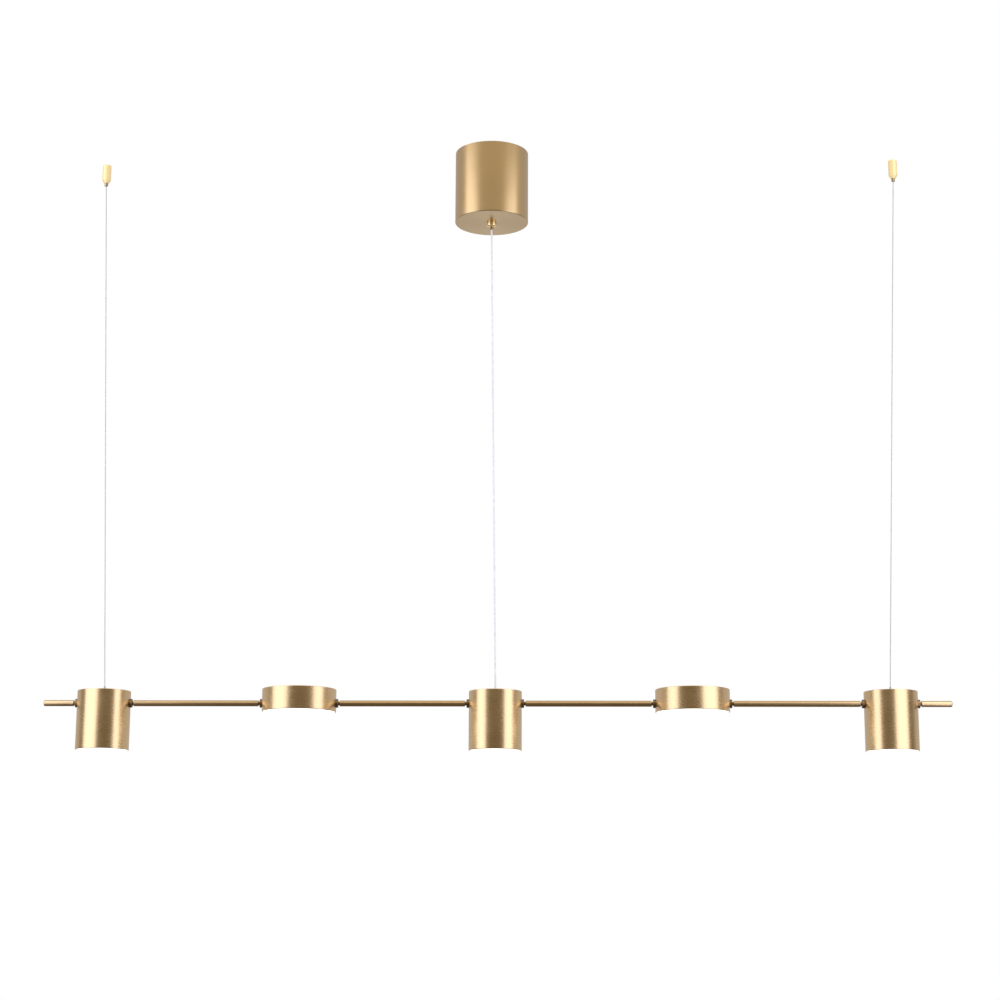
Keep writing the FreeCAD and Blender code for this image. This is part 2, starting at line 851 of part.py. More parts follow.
def make_cylinder_head(name):
    radius = size.cylinder_diameter / 2
    inside = radius - size.cylinder_wall
    top = size.cylinder_above_axis
    bottom = top - size.cylinder_height
    place = (head_x[name], bar_y, rod_axis)
    is_centre = name == "centre_cylinder"
    top_hole = (size.grommet_groove if is_centre else size.anchor_stem) / 2 + size.running_gap
    head_shell(
        name,
        radius,
        size.cylinder_wall,
        size.cylinder_top,
        top,
        size.cylinder_height,
        size.cylinder_edge_round,
        top_hole,
    )
    fin_top = top - size.heat_sink_drop
    plate_top = fin_top - size.fin_height
    plate_bottom = plate_top - size.heat_sink_plate
    sink_radius = inside - size.seat_gap
    sink = turned(
        f"{name}_heat_sink",
        tube(size.heat_sink_hole / 2, sink_radius, plate_bottom, plate_top),
        place,
    )
    fin = block(
        sink,
        f"{name}_fin",
        (size.fin_length, size.fin_thickness, size.fin_height),
        (sink_radius - size.fit_gap - size.fin_length, -size.fin_thickness / 2, plate_top),
    )
    repeat_round(sink, f"{name}_fins", fin, size.fin_count)
    keep(sink)
    board_bottom = plate_bottom - size.board_thickness
    board = turned(
        f"{name}_led_board",
        tube(size.heat_sink_hole / 2, size.cylinder_board_diameter / 2, board_bottom, plate_bottom),
        place,
    )
    add_chips(board, size.cylinder_chip_circle / 2, board_bottom, size.cylinder_chip_count)
    keep(board)
    diffuser_top = bottom + size.diffuser_thickness
    diffuser_profile = [
        (0, bottom),
        (inside - size.fit_gap, bottom),
        (inside - size.fit_gap, diffuser_top),
        (0, diffuser_top),
    ]
    keep(turned(f"{name}_diffuser", diffuser_profile, place))
    mouth = size.reflector_mouth / 2
    rim = inside - size.fit_gap
    wall = size.reflector_wall
    reflector_profile = [
        (mouth - wall, board_bottom),
        (mouth, board_bottom),
        (rim, diffuser_top),
        (rim - wall, diffuser_top),
    ]
    return turned(f"{name}_reflector", reflector_profile, place)


def make_disc_head(name):
    radius = size.disc_diameter / 2
    inside = radius - size.disc_wall
    top = size.disc_above_axis
    bottom = top - size.disc_height
    place = (head_x[name], bar_y, rod_axis)
    head_shell(
        name,
        radius,
        size.disc_wall,
        size.disc_top,
        top,
        size.disc_height,
        size.disc_edge_round,
        0,
    )
    diffuser_top = bottom + size.disc_diffuser_thickness
    guide_top = diffuser_top + size.light_guide_thickness
    rim = inside - size.fit_gap
    ring_inner = rim - size.led_ring_thickness
    guide_rim = ring_inner - size.chip_height - size.fit_gap
    for part, part_radius, low, high in (
        ("diffuser", rim, bottom, diffuser_top),
        ("light_guide", guide_rim, diffuser_top, guide_top),
        ("back_plate", rim, guide_top, guide_top + size.back_plate_thickness),
    ):
        profile = [(0, low), (part_radius, low), (part_radius, high), (0, high)]
        keep(turned(f"{name}_{part}", profile, place))
    ring = turned(f"{name}_led_ring", tube(ring_inner, rim, diffuser_top, guide_top), place)
    chip_width = size.light_guide_thickness - 2 * size.fit_gap
    chip = block(
        ring,
        f"{name}_ring_chip",
        (size.chip_height + size.fit_gap, chip_width, chip_width),
        (ring_inner - size.chip_height, -chip_width / 2, diffuser_top + size.fit_gap),
    )
    repeat_round(ring, f"{name}_ring_chips", chip, size.ring_chip_count)
    keep(ring)


def make_heads():
    reflectors = []
    for name in head_x:
        if name.endswith("disc"):
            make_disc_head(name)
        else:
            reflectors.append(make_cylinder_head(name))
    keep_group("cylinder_reflectors", reflectors)


def make_hangers():
    """The screw anchors that the wires end in, and the rubber grommet that the cable goes through."""
    top = size.cylinder_above_axis
    under = top - size.cylinder_top
    cone, tip = size.anchor_cone_diameter / 2, size.anchor_cone_tip / 2
    stem, head = size.anchor_stem / 2, size.anchor_head_diameter / 2
    profile = [
        (0, top + size.anchor_cone_height),
        (tip, top + size.anchor_cone_height),
        (cone, top),
        (stem, top),
        (stem, under),
        (head, under),
        (head, under - size.anchor_head_height),
        (0, under - size.anchor_head_height),
    ]
    anchors = [
        turned(f"{side}_wire_anchor", profile, (head_x[f"{side}_cylinder"], bar_y, rod_axis))
        for side in ("left", "right")
    ]
    keep_group("wire_anchors", anchors)
    flange, neck = size.grommet_diameter / 2, size.grommet_groove / 2
    hole = size.cable_diameter / 2 + size.running_gap
    grommet_profile = [
        (hole, top + size.grommet_height),
        (flange, top + size.grommet_height),
        (flange, top),
        (neck, top),
        (neck, under),
        (hole, under),
    ]
    keep(turned("cable_grommet", grommet_profile, (head_x["centre_cylinder"], bar_y, rod_axis)))


# ---- build, check and write ----

make_canopy()
make_bracket()
make_side_screws()
make_driver()
make_ceiling_grippers()
make_cable_gripper()
make_wires()
make_rods()
make_joints_at_heads()
make_leads()
make_heads()
make_hangers()
doc.recompute()

for item in doc.Objects:
    if "Invalid" in item.State or "Error" in item.State:
        raise RuntimeError(f"{item.Label} failed: {item.State}")
for label, piece in pieces.items():
    if piece.Shape.isNull() or not piece.Shape.isValid():
        raise RuntimeError(f"{label} has no valid shape")

os.makedirs("parts", exist_ok=True)
for label, piece in pieces.items():
    piece.Shape.exportStep(f"parts/{label}.step")
print(len(pieces), "sub-parts written")
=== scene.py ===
import math

import bmesh
import bpy
from mathutils import Euler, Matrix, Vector


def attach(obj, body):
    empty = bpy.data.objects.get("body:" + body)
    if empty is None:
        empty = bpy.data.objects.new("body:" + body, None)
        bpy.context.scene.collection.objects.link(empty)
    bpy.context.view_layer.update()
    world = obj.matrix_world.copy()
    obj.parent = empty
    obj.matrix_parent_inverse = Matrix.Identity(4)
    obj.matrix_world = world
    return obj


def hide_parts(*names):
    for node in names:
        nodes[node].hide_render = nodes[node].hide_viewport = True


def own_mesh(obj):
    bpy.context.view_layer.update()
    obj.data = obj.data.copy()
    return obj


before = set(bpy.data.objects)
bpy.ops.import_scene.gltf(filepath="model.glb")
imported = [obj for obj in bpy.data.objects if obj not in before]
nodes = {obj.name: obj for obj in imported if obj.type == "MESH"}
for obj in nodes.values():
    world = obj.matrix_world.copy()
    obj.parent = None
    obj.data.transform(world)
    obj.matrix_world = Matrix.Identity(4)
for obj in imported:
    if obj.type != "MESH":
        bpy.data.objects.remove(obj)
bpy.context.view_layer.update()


# ---- The photographer's place ----
# The lamp is seen from the front and from below its bar. The long lens is tilted up, so that the canopy
# and the ceiling grippers are in the picture, and the bar's right half is a little nearer than its left.
CAMERA_PLACE = (0.0849, -2.5979, -1.0457)
CAMERA_TILT_DEG = 12.09
CAMERA_TURN_DEG = 1.585
CAMERA_ROLL_DEG = 0.231
LENS_MM = 71.785
SENSOR_MM = 36

bpy.ops.object.select_all(action="DESELECT")
bpy.ops.object.camera_add(location=CAMERA_PLACE)
camera = bpy.context.object
camera.rotation_euler = (
    Euler((0, 0, math.radians(CAMERA_TURN_DEG))).to_matrix()
    @ Euler((math.radians(90 + CAMERA_TILT_DEG), 0, 0)).to_matrix()
    @ Euler((0, 0, math.radians(CAMERA_ROLL_DEG))).to_matrix()
).to_euler()
camera.data.lens = LENS_MM
camera.data.sensor_width = SENSOR_MM
bpy.context.scene.camera = camera
bpy.context.scene.view_settings.view_transform = "Standard"


# ---- Studio ----
# The lamp hangs high above a plain pale floor, before a white background. A tall soft light stands close
# beyond each end of the bar, and the dim room behind the photographer gives brass its dark middle band.
FLOOR_HEIGHT = -2.4
FLOOR_WIDTH = 16
FLOOR_MOTTLE = 3
FLOOR_ROUGHNESS = 0.85
FLOOR_LIGHT = (0.93, 0.93, 0.925)
FLOOR_DARK = (0.89, 0.89, 0.885)
DIM_ROOM = (0.118, 0.086, 0.045, 1)
FLOOR_PAINTED_SHADE = (0.12, 0.095, 0.065, 1)
CEILING_GLOW = (0.885, 0.81, 0.68, 1)
BACKDROP_GLOW = (0.56, 0.54, 0.55, 1)
DAYLIGHT = (0.9, 0.9, 0.9, 1)
WHITE = (1, 1, 1, 1)
# How far a mirrored ray points to the rear, or up, where the glow there starts and where it is full.
BACKDROP_FROM, BACKDROP_TO = -0.15, 0.5
CEILING_FROM, CEILING_TO = 0.12, 0.5
# Where the floor behind the lamp turns from painted shade to pale in the brass: mirrored rays see the floor
# near the lamp painted dark.
PALE_FROM, PALE_TO = 2, 4.5


def node_in(tree, kind, **settings):
    """Adds a shader node and sets its properties."""
    node = tree.nodes.new(kind)
    for key, value in settings.items():
        setattr(node, key, value)
    return node


def math_in(tree, operation, *operands):
    """Adds a math node whose operands are numbers or outputs of other nodes."""
    node = node_in(tree, "ShaderNodeMath", operation=operation)
    for socket, operand in zip(node.inputs, operands):
        if isinstance(operand, (int, float)):
            socket.default_value = operand
        else:
            tree.links.new(operand, socket)
    return node.outputs[0]


def ease_in(tree, value, low, high, start, end):
    """Eases from start to end while a value goes from low to high."""
    node = node_in(tree, "ShaderNodeMapRange", interpolation_type="SMOOTHSTEP")
    tree.links.new(value, node.inputs["Value"])
    for name, number in (("From Min", low), ("From Max", high), ("To Min", start), ("To Max", end)):
        node.inputs[name].default_value = number
    return node.outputs["Result"]


def noise_in(tree, place, scale, detail=2, roughness=0.5):
    """Adds a noise that is read at a place."""
    node = node_in(tree, "ShaderNodeTexNoise")
    for name, number in (("Scale", scale), ("Detail", detail), ("Roughness", roughness)):
        node.inputs[name].default_value = number
    tree.links.new(place, node.inputs["Vector"])
    return node.outputs["Fac"]


def mix_in(tree, factor, first, second):
    """Mixes two colours, each given as numbers or as the output of another node."""
    node = node_in(tree, "ShaderNodeMix", data_type="RGBA")
    tree.links.new(factor, node.inputs["Factor"])
    for socket, colour in ((node.inputs["A"], first), (node.inputs["B"], second)):
        if isinstance(colour, tuple):
            socket.default_value = colour
        else:
            tree.links.new(colour, socket)
    return node.outputs["Result"]


def tone_in(tree, value, dark, light, low=0, high=1):
    """Turns a value into a colour, from dark at low to light at high."""
    node = node_in(tree, "ShaderNodeValToRGB")
    ramp = node.color_ramp.elements
    ramp[0].position, ramp[0].color = low, (*dark, 1)
    ramp[1].position, ramp[1].color = high, (*light, 1)
    tree.links.new(value, node.inputs["Fac"])
    return node.outputs["Color"]


studio = bpy.data.worlds.new("studio")
bpy.context.scene.world = studio
studio.use_nodes = True
room = studio.node_tree
room.nodes.clear()
ray = node_in(room, "ShaderNodeLightPath")
bearing = node_in(room, "ShaderNodeSeparateXYZ")
room.links.new(node_in(room, "ShaderNodeTexCoord").outputs["Generated"], bearing.inputs[0])
behind = ease_in(room, bearing.outputs["Y"], BACKDROP_FROM, BACKDROP_TO, 0, 1)
above = ease_in(room, bearing.outputs["Z"], CEILING_FROM, CEILING_TO, 0, 1)
mirrored = mix_in(room, behind, mix_in(room, above, DIM_ROOM, CEILING_GLOW), BACKDROP_GLOW)
plain = math_in(room, "MAXIMUM", ray.outputs["Is Camera Ray"], ray.outputs["Is Transmission Ray"])
light = mix_in(room, plain, DAYLIGHT, WHITE)
background = node_in(room, "ShaderNodeBackground")
shown = mix_in(room, ray.outputs["Is Glossy Ray"], light, mirrored)
room.links.new(shown, background.inputs["Color"])
room.links.new(background.outputs[0], node_in(room, "ShaderNodeOutputWorld").inputs["Surface"])

bpy.ops.object.select_all(action="DESELECT")
bpy.ops.mesh.primitive_plane_add(size=FLOOR_WIDTH, location=(0, 0, FLOOR_HEIGHT))
floor = bpy.context.object
floor.name = "floor"
floor_paint = bpy.data.materials.new("floor_paint")
floor_paint.use_nodes = True
tree = floor_paint.node_tree
shader = tree.nodes["Principled BSDF"]
floor_place = node_in(tree, "ShaderNodeTexCoord").outputs["Object"]
painted = tone_in(tree, noise_in(tree, floor_place, FLOOR_MOTTLE), FLOOR_DARK, FLOOR_LIGHT)
floor_parts = node_in(tree, "ShaderNodeSeparateXYZ")
tree.links.new(floor_place, floor_parts.inputs[0])
near = ease_in(tree, floor_parts.outputs["Y"], PALE_FROM, PALE_TO, 1, 0)
glossy_ray = node_in(tree, "ShaderNodeLightPath").outputs["Is Glossy Ray"]
# Mirrored rays see the floor near and under the lamp painted dark: painted shade that the brass reflects.
floor_colour = mix_in(tree, math_in(tree, "MULTIPLY", near, glossy_ray), painted, FLOOR_PAINTED_SHADE)
tree.links.new(floor_colour, shader.inputs["Base Color"])
shader.inputs["Roughness"].default_value = FLOOR_ROUGHNESS
floor.data.materials.append(floor_paint)

LIGHT_LOW = -1.15
LIGHT_COLOUR = (0.78, 0.82, 1)
# Name, front end's x and y, rear end's x and y, top, brightness.
SOFT_LIGHTS = (
    ("left_light", (-0.78, -0.90), (-0.84, -0.08), 0.32, 2.1),
    ("right_light", (0.65, -0.71), (0.72, -0.08), 0.2, 2.1),
)
for name, front, rear, top, brightness in SOFT_LIGHTS:
    front, rear = Vector((*front, 0)), Vector((*rear, 0))
    panel = bpy.data.lights.new(name, "AREA")
    panel.shape = "RECTANGLE"
    panel.size = (rear - front).length
    panel.size_y = top - LIGHT_LOW
    panel.energy = brightness * math.pi * panel.size * panel.size_y
    panel.color = LIGHT_COLOUR
    stand = bpy.data.objects.new(name, panel)
    stand.location = (front + rear) / 2 + Vector((0, 0, (top + LIGHT_LOW) / 2))
    inward = Vector((front.y - rear.y, rear.x - front.x, 0))
    inward *= -1 if inward.x * stand.location.x > 0 else 1
    stand.rotation_euler = inward.to_track_quat("-Z", "Y").to_euler()
    stand.visible_camera = False
    bpy.context.scene.collection.objects.link(stand)


# ---- Suspension wires and power cable ----
# Two bright steel wires of twisted strands end in the outer heads and carry the bar. A clear cable runs
# down to the centre head between them. The bar's weight pulls all three straight.
SET_BACK = 0.033
GRIPPER_X = {"left": -0.543, "right": 0.557}
ANCHOR_X = {"left": -0.513, "right": 0.527}
GROMMET_X = 0.007
WIRE_TOP, WIRE_BOTTOM = -0.0303, -0.7341
CABLE_TOP, CABLE_BOTTOM = -0.1097, -0.7387
WIRE_DIAMETER = 0.0012
CABLE_DIAMETER = 0.0025
STRANDS = 6
STRAND_DEPTH = 0.12
LAY_LENGTH = 0.012
RING_STEP = 0.0012
POINTS_ROUND = 24
CORD_SMOOTH_DEG = 60
# Which values of a noise give the extremes, and how far off its mean they take the roughness.
SPECKLE_LOW, SPECKLE_HIGH = 0.3, 0.7
SPECKLE_ROUGHNESS = 0.15
SLEEVE_GLOSS = 0.6
# Name, node, body, material slot, diameter, lobe depth, top end, bottom end.
CORDS = (
    ("left_steel_wire", "left_wire", "suspension", "steel_wire", WIRE_DIAMETER, STRAND_DEPTH,
     Vector((GRIPPER_X["left"], SET_BACK, WIRE_TOP)), Vector((ANCHOR_X["left"], SET_BACK, WIRE_BOTTOM))),
    ("right_steel_wire", "right_wire", "suspension", "steel_wire", WIRE_DIAMETER, STRAND_DEPTH,
     Vector((GRIPPER_X["right"], SET_BACK, WIRE_TOP)), Vector((ANCHOR_X["right"], SET_BACK, WIRE_BOTTOM))),
    ("clear_power_cable", "power_cable", "cable_run", "clear_cable", CABLE_DIAMETER, 0,
     Vector((0, 0, CABLE_TOP)), Vector((GROMMET_X, SET_BACK, CABLE_BOTTOM))),
)


def dress(material, *names):
    """Gives carried-over nodes a material."""
    for name in names:
        nodes[name].data.materials.clear()
        nodes[name].data.materials.append(material)


def taut_route(name, top, bottom):
    """The centreline of a taut cord: points read from one smooth spline."""
    curve = bpy.data.curves.new(name + "_route", "CURVE")
    curve.dimensions = "3D"
    spline = curve.splines.new("NURBS")
    spline.points.add(2)
    for point, place in zip(spline.points, (top, (top + bottom) / 2, bottom)):
        point.co = (*place, 1)
    spline.order_u = 3
    spline.use_endpoint_u = True
    line = bpy.data.meshes.new_from_object(bpy.data.objects.new(name + "_route", curve))
    return [vertex.co.copy() for vertex in line.vertices]


def taut_cord(name, top, bottom, diameter, lobe_depth):
    """A tube along a taut route. Its section has a lobe for each strand, and turns with the lay."""
    route = taut_route(name, top, bottom)
    start, end = route[0], route[-1]
    along = (end - start).normalized()
    side = along.cross(Vector((0, 1, 0))).normalized()
    front = along.cross(side)
    length = (end - start).length
    steps = round(length / RING_STEP) if lobe_depth else len(route)
    centres = [start + along * (length * step / steps) for step in range(steps + 1)]
    corners = []
    for centre in centres:
        twist = math.tau * (centre - start).length / LAY_LENGTH
        for number in range(POINTS_ROUND):
            angle = math.tau * number / POINTS_ROUND
            dip = 1 - abs(math.cos(STRANDS * (angle - twist) / 2))
            radius = diameter / 2 * (1 - lobe_depth * dip)
            corners.append(centre + (side * math.cos(angle) + front * math.sin(angle)) * radius)
    faces = [tuple(range(POINTS_ROUND)), tuple(range(len(corners) - POINTS_ROUND, len(corners)))]
    for step in range(steps):
        for number in range(POINTS_ROUND):
            first = step * POINTS_ROUND + number
            second = step * POINTS_ROUND + (number + 1) % POINTS_ROUND
            faces.append((first, second, second + POINTS_ROUND, first + POINTS_ROUND))
    mesh = bpy.data.meshes.new(name)
    mesh.from_pydata(corners, [], faces)
    cord = bpy.data.objects.new(name, mesh)
    bpy.context.scene.collection.objects.link(cord)
    bpy.ops.object.select_all(action="DESELECT")
    cord.select_set(True)
    bpy.context.view_layer.objects.active = cord
    bpy.ops.object.mode_set(mode="EDIT")
    bpy.ops.mesh.select_all(action="SELECT")
    bpy.ops.mesh.normals_make_consistent(inside=False)
    bpy.ops.object.mode_set(mode="OBJECT")
    bpy.ops.object.shade_smooth_by_angle(angle=math.radians(CORD_SMOOTH_DEG))
    return cord, centres


def vary_roughness(tree, shader, value, mean, spread):
    """Lets the roughness follow a noise, by a share to either side of its mean."""
    smoother, rougher = mean * (1 - spread), mean * (1 + spread)
    rough = ease_in(tree, value, SPECKLE_LOW, SPECKLE_HIGH, smoother, rougher)
    tree.links.new(rough, shader.inputs["Roughness"])


def speckled(name, dark, light, grain, roughness, metallic):
    """A material whose colour varies in fine speckles."""
    material = bpy.data.materials.new(name)
    material.use_nodes = True
    tree = material.node_tree
    shader = tree.nodes["Principled BSDF"]
    place = node_in(tree, "ShaderNodeTexCoord").outputs["Object"]
    speckle = noise_in(tree, place, grain, detail=4)
    tone = tone_in(tree, speckle, dark, light, SPECKLE_LOW, SPECKLE_HIGH)
    tree.links.new(tone, shader.inputs["Base Color"])
    vary_roughness(tree, shader, speckle, roughness, SPECKLE_ROUGHNESS)
    shader.inputs["Metallic"].default_value = metallic
    return material


bright_wire = speckled("bright_wire", (0.48, 0.48, 0.49), (0.66, 0.66, 0.67), 900, 0.36, 1)
clear_sleeve = speckled("clear_sleeve", (0.60, 0.60, 0.61), (0.74, 0.74, 0.74), 150, 0.2, 0)
clear_sleeve.node_tree.nodes["Principled BSDF"].inputs["Coat Weight"].default_value = SLEEVE_GLOSS
for name, node, body, slot, diameter, lobe_depth, top, bottom in CORDS:
    cord, centres = taut_cord(name, top, bottom, diameter, lobe_depth)
    cord.data.materials.append(clear_sleeve if slot == "clear_cable" else bright_wire)
    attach(cord, body)
    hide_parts(node)
    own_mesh(cord)
dress(bright_wire, "wire_ends_in_grippers")
dress(clear_sleeve, "cable_inside_canopy")


# ---- Canopy ----
# A spun brass cup, closed at its floor and open at the ceiling, which covers the bracket and the driver.
# It is brushed round and round and lacquered, and two side screws hold it to the bracket's ears.
SIDES = 160
CANOPY_MIDDLE = (0, 0, 0)
CANOPY_FLOOR = -0.100
CANOPY_RADIUS = 0.050
CANOPY_WALL = 0.0015
CANOPY_EDGE_ROUND = 0.001
CANOPY_RIM_ROUND = 0.0002
CANOPY_HOLE = 0.0051
SMOOTH_DEG = 30
FACE_WEIGHT = 100
BRUSH_LOW, BRUSH_HIGH = 0.32, 0.68
BRUSH_ROUGHNESS = 0.07
BRUSH_DEPTH = 0.000004
LACQUER = 0.3
LACQUER_ROUGHNESS = 0.25
# How near two measures are when they count as the same.
SAME_PLACE = 1e-6
SAME_RADIUS = 1e-5


def brass(name, dark, light, roughness, grain, anisotropy=0.0, turning=None, brushing=0.1):
    """Brushed and lacquered brass. Grain holds how fine the brush lines are along X, Y and Z."""
    material = bpy.data.materials.new(name)
    material.use_nodes = True
    tree = material.node_tree
    shader = tree.nodes["Principled BSDF"]
    place = node_in(tree, "ShaderNodeTexCoord").outputs["Object"]
    stretch = node_in(tree, "ShaderNodeMapping")
    stretch.inputs["Scale"].default_value = grain
    tree.links.new(place, stretch.inputs["Vector"])
    lines = noise_in(tree, stretch.outputs["Vector"], scale=1, detail=5, roughness=0.65)
    cloud = noise_in(tree, place, scale=35, detail=3)
    half_lines = math_in(tree, "MULTIPLY", lines, 0.5)
    half_cloud = math_in(tree, "MULTIPLY", cloud, 0.5)
    mixed = math_in(tree, "ADD", half_lines, half_cloud)
    tone = tone_in(tree, mixed, dark, light, BRUSH_LOW, BRUSH_HIGH)
    tree.links.new(tone, shader.inputs["Base Color"])
    vary_roughness(tree, shader, mixed, roughness, BRUSH_ROUGHNESS)
    bump = node_in(tree, "ShaderNodeBump")
    bump.inputs["Strength"].default_value = brushing
    bump.inputs["Distance"].default_value = BRUSH_DEPTH
    tree.links.new(lines, bump.inputs["Height"])
    tree.links.new(bump.outputs["Normal"], shader.inputs["Normal"])
    shader.inputs["Metallic"].default_value = 1
    shader.inputs["Coat Weight"].default_value = LACQUER
    shader.inputs["Coat Roughness"].default_value = LACQUER_ROUGHNESS
    if turning:
        tangent = node_in(tree, "ShaderNodeTangent", direction_type="RADIAL", axis=turning)
        tree.links.new(tangent.outputs["Tangent"], shader.inputs["Tangent"])
        shader.inputs["Anisotropic"].default_value = anisotropy
    return material


def new_cylinder(name, radius, low, high, middle, sides=SIDES, axis="Z"):
    """Adds a capped cylinder between two places along its axis, and opens it in edit mode."""
    bpy.ops.object.select_all(action="DESELECT")
    centre = Vector(middle)
    centre["XYZ".index(axis)] = (low + high) / 2
    lean = math.pi / 2 if axis == "X" else 0
    bpy.ops.mesh.primitive_cylinder_add(
        vertices=sides, radius=radius, depth=high - low, location=centre, rotation=(0, lean, 0)
    )
    piece = bpy.context.object
    piece.name = piece.data.name = name
    bpy.ops.object.transform_apply(location=True, rotation=True, scale=True)
    bpy.ops.object.mode_set(mode="EDIT")
    bpy.ops.mesh.select_all(action="DESELECT")
    return piece


def pick(piece, kind, test):
    """Selects the faces or edges that pass a test, in edit mode."""
    bpy.ops.mesh.select_mode(type="FACE" if kind == "faces" else "EDGE")
    bpy.ops.mesh.select_all(action="DESELECT")
    mesh = bmesh.from_edit_mesh(piece.data)
    for item in getattr(mesh, kind):
        item.select_set(test(item))
    mesh.select_flush_mode()
    bmesh.update_edit_mesh(piece.data)


def end_caps(piece, axis, *places):
    """Selects the many-sided faces that lie at some places along an axis."""
    index = "XYZ".index(axis)

    def is_cap(face):
        middle = face.calc_center_median()[index]
        return len(face.verts) > 4 and any(abs(middle - place) < SAME_PLACE for place in places)

    pick(piece, "faces", is_cap)


def sink_cap(piece, axis, place, inset, depth):
    """Insets an end face and pushes it along its axis, by depth upwards or downwards."""
    end_caps(piece, axis, place)
    bpy.ops.mesh.inset(thickness=inset)
    step = Vector((0, 0, 0))
    step["XYZ".index(axis)] = depth
    bpy.ops.mesh.extrude_region_move(TRANSFORM_OT_translate={"value": step})


def round_ring(piece, axis, place, radius, middle, amount, segments=5):
    """Bevels the round edge of a given radius at a place along an axis."""
    index = "XYZ".index(axis)
    centre = Vector(middle)

    def on_ring(vertex):
        away = vertex.co - centre
        away[index] = 0
        return abs(vertex.co[index] - place) < SAME_PLACE and abs(away.length - radius) < SAME_RADIUS

    pick(piece, "edges", lambda edge: all(on_ring(vertex) for vertex in edge.verts))
    bpy.ops.mesh.bevel(offset=amount, segments=segments, profile=0.5)


def join_caps(piece, axis, first, second, inset_first, inset_second):
    """Opens a round hole between two end faces, with a wall round it."""
    for place, inset in ((first, inset_first), (second, inset_second)):
        end_caps(piece, axis, place)
        bpy.ops.mesh.inset(thickness=inset)
    end_caps(piece, axis, first, second)
    bpy.ops.mesh.bridge_edge_loops()


def finish_piece(piece, material, body, replaced):
    """Ends edit mode, smooths the piece, gives it its material and body, and hides the node it replaces."""
    bpy.ops.mesh.select_all(action="SELECT")
    bpy.ops.mesh.normals_make_consistent(inside=False)
    bpy.ops.object.mode_set(mode="OBJECT")
    bpy.ops.object.shade_smooth_by_angle(angle=math.radians(SMOOTH_DEG))
    even = piece.modifiers.new("even_shading", "WEIGHTED_NORMAL")
    even.keep_sharp = True
    even.weight = FACE_WEIGHT
    bpy.ops.object.modifier_apply(modifier=even.name)
    piece.data.materials.clear()
    piece.data.materials.append(material)
    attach(piece, body)
    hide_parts(replaced)


# The canopy's brass is painted darker than the heads' brass: painted shade for the dimmer light the canopy
# gets.
shaded_satin_brass = brass(
    "shaded_satin_brass", (0.575, 0.405, 0.20), (0.61, 0.435, 0.22), 0.30, (9, 9, 1400),
    anisotropy=0.3, turning="Z",
)
canopy = new_cylinder("canopy", CANOPY_RADIUS, CANOPY_FLOOR, 0, CANOPY_MIDDLE)
sink_cap(canopy, "Z", 0, CANOPY_WALL, CANOPY_FLOOR + CANOPY_WALL)
outer_inset = CANOPY_RADIUS - CANOPY_HOLE
join_caps(canopy, "Z", CANOPY_FLOOR, CANOPY_FLOOR + CANOPY_WALL, outer_inset, outer_inset - CANOPY_WALL)
round_ring(canopy, "Z", CANOPY_FLOOR, CANOPY_RADIUS, CANOPY_MIDDLE, CANOPY_EDGE_ROUND)
round_ring(canopy, "Z", 0, CANOPY_RADIUS, CANOPY_MIDDLE, CANOPY_RIM_ROUND, segments=2)
finish_piece(canopy, shaded_satin_brass, "ceiling_set", "canopy_shell")


# ---- Inside the canopy ----
# A zinc-plated strap is screwed to the ceiling. It carries the driver in its white plastic case and the
# mains terminal block, and two socket screws hold the canopy to its ears.
zinc = speckled("zinc", (0.48, 0.49, 0.50), (0.66, 0.67, 0.69), 260, 0.38, 1)
case_plastic = speckled("case_plastic", (0.76, 0.76, 0.74), (0.84, 0.84, 0.82), 700, 0.55, 0)
terminal_nylon = speckled("terminal_nylon", (0.66, 0.64, 0.56), (0.74, 0.72, 0.64), 400, 0.45, 0)
dress(zinc, "ceiling_bracket", "canopy_side_screws", "canopy_gripper_nut", "gripper_bases")
dress(case_plastic, "led_driver")
dress(terminal_nylon, "mains_terminal_block")


# ---- Wire grippers on the ceiling ----
# Each is a polished brass barrel that screws over a base on the ceiling. Pushing in the plunger in its
# nose against a spring frees the wire, which then runs up through the barrel to set the height.
SMALL_SIDES = 64
GRIPPER_RADIUS = 0.006
GRIPPER_BARREL = 0.022
GRIPPER_CONE = 0.004
GRIPPER_NOSE_RADIUS = 0.0032
GRIPPER_TOP_ROUND = 0.0006
GRIPPER_SHOULDER_ROUND = 0.0008
GRIPPER_NOSE_ROUND = 0.0002
GRIPPER_SOCKET = 0.00455
GRIPPER_SOCKET_DEPTH = 0.0081
PLUNGER_BORE = 0.00255
PLUNGER_BORE_DEPTH = 0.0064


def fit_spring(name):
    """Dresses a release spring in zinc and gives it its own mesh. In the gripper it is pressed together
    against its roof as its plunger goes in.
    """
    dress(zinc, name)
    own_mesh(nodes[name])


